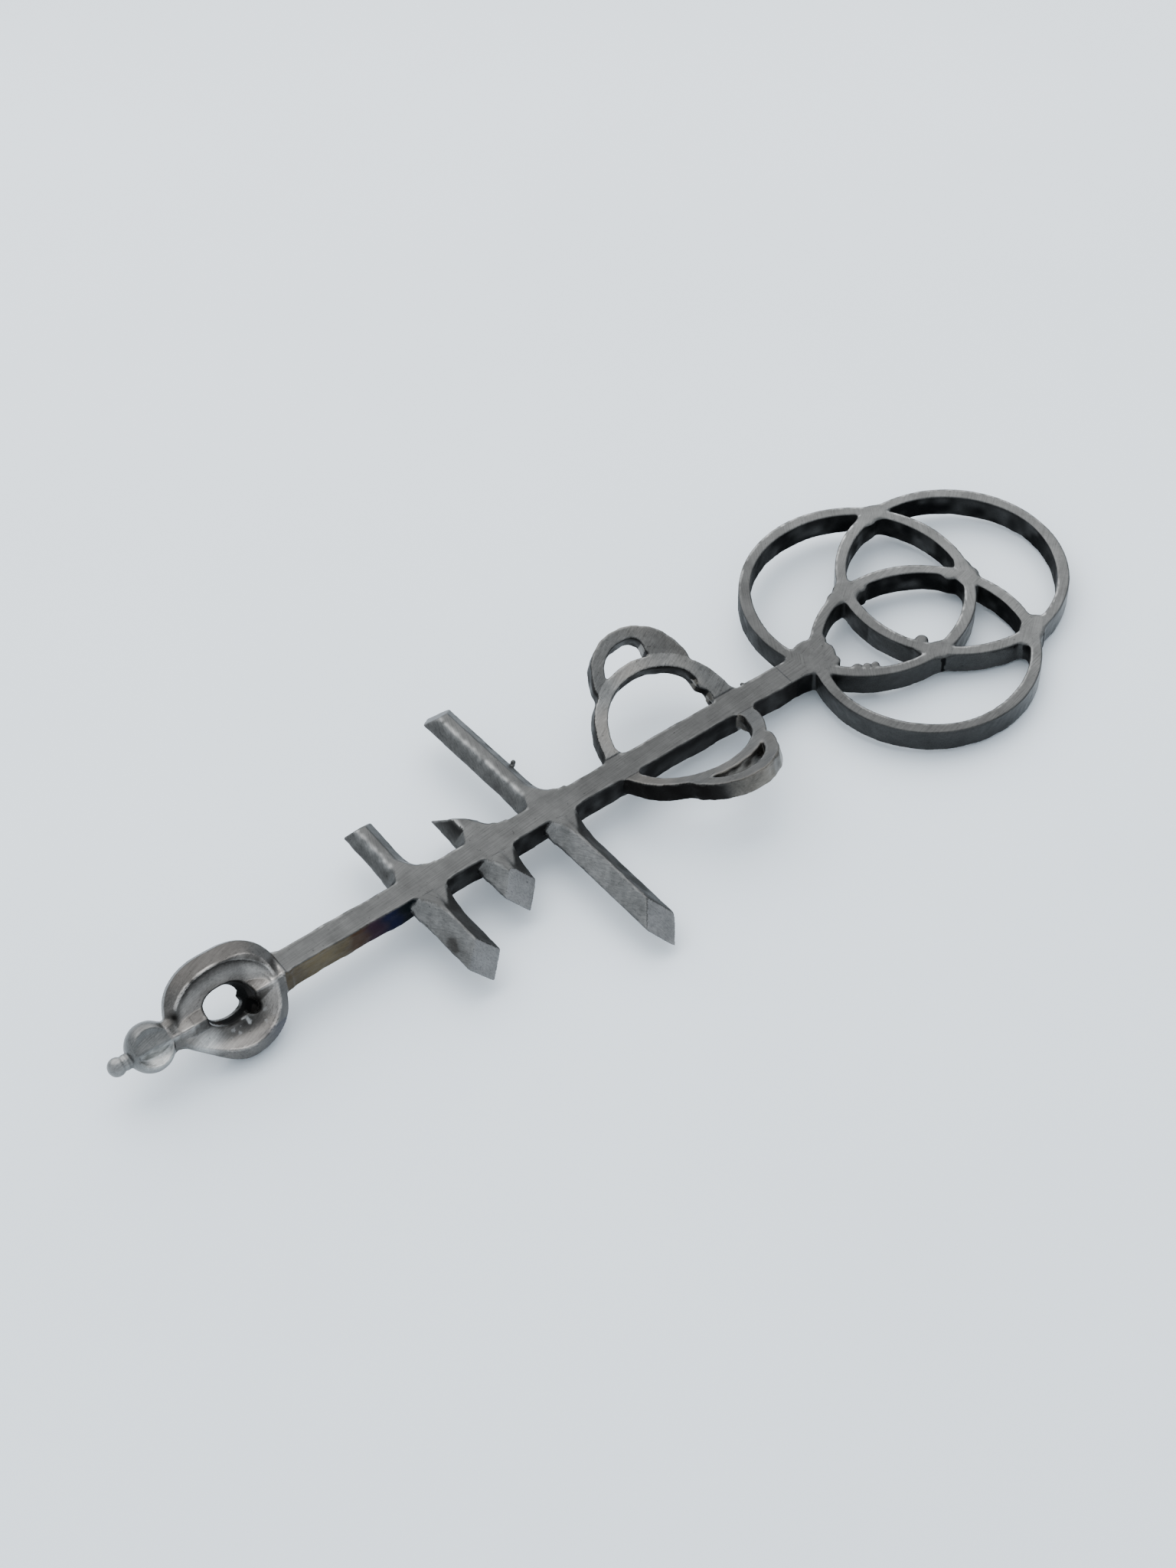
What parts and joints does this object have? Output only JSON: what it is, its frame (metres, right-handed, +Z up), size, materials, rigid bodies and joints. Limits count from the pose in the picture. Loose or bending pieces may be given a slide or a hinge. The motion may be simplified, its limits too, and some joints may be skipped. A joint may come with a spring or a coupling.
{
  "type": "welded steel sceptre ornament",
  "caption": "Welded steel ornament: square shaft with edge-up cross arms, winged hoop collar, pierced eye with ball tip, and interlaced rings at the far end; lies flat or hangs by the eye.",
  "frame": {"origin": "middle of the whole object's box, at the bottom, on the surface that the object lies on", "axes": "+X along the shaft towards the rings, +Y to the left when looking from the eye to the rings, +Z up"},
  "size_m": [0.4208, 0.1416, 0.0336],
  "materials": {
    "bar_steel": "hand-ground bright top faces, dark mill scale and heat tint on the sides",
    "ring_steel": "ground flat rims, dark scaled walls",
    "collar_steel": "hand-ground, faint straw heat tint",
    "finial_steel": "hand-ground and scooped, dark in the hollows",
    "weld_metal": "weld bead, ground flush on top"
  },
  "bodies": {
    "root": {"arm_long_left": "bar_steel", "arm_long_right": "bar_steel", "arm_medium_left": "bar_steel", "arm_medium_right": "bar_steel", "arm_short_left": "bar_steel", "arm_short_right": "bar_steel", "bead": "finial_steel", "collar_crest_left": "collar_steel", "collar_crest_right": "collar_steel", "collar_hoop_left": "collar_steel", "collar_hoop_right": "collar_steel", "eye": "finial_steel", "neck": "finial_steel", "ring_end": "ring_steel", "ring_left": "ring_steel", "ring_right": "ring_steel", "shaft": "bar_steel", "spatter_arm": "weld_metal", "spatter_shaft": "weld_metal", "tip_ball": "finial_steel", "tip_collar": "finial_steel", "weld_arm_long_left": "weld_metal", "weld_arm_long_right": "weld_metal", "weld_arm_medium_left": "weld_metal", "weld_arm_medium_right": "weld_metal", "weld_arm_short_left": "weld_metal", "weld_arm_short_right": "weld_metal", "weld_crest_left_back": "weld_metal", "weld_crest_left_front": "weld_metal", "weld_crest_right_back": "weld_metal", "weld_crest_right_front": "weld_metal", "weld_end_right_inner": "weld_metal", "weld_end_right_outer": "weld_metal", "weld_eye": "weld_metal", "weld_hoop_left_back": "weld_metal", "weld_hoop_left_front": "weld_metal", "weld_hoop_right_back": "weld_metal", "weld_hoop_right_front": "weld_metal", "weld_left_end_inner": "weld_metal", "weld_left_end_outer": "weld_metal", "weld_left_right": "weld_metal", "weld_ring_root": "weld_metal"}
  },
  "joints": []
}
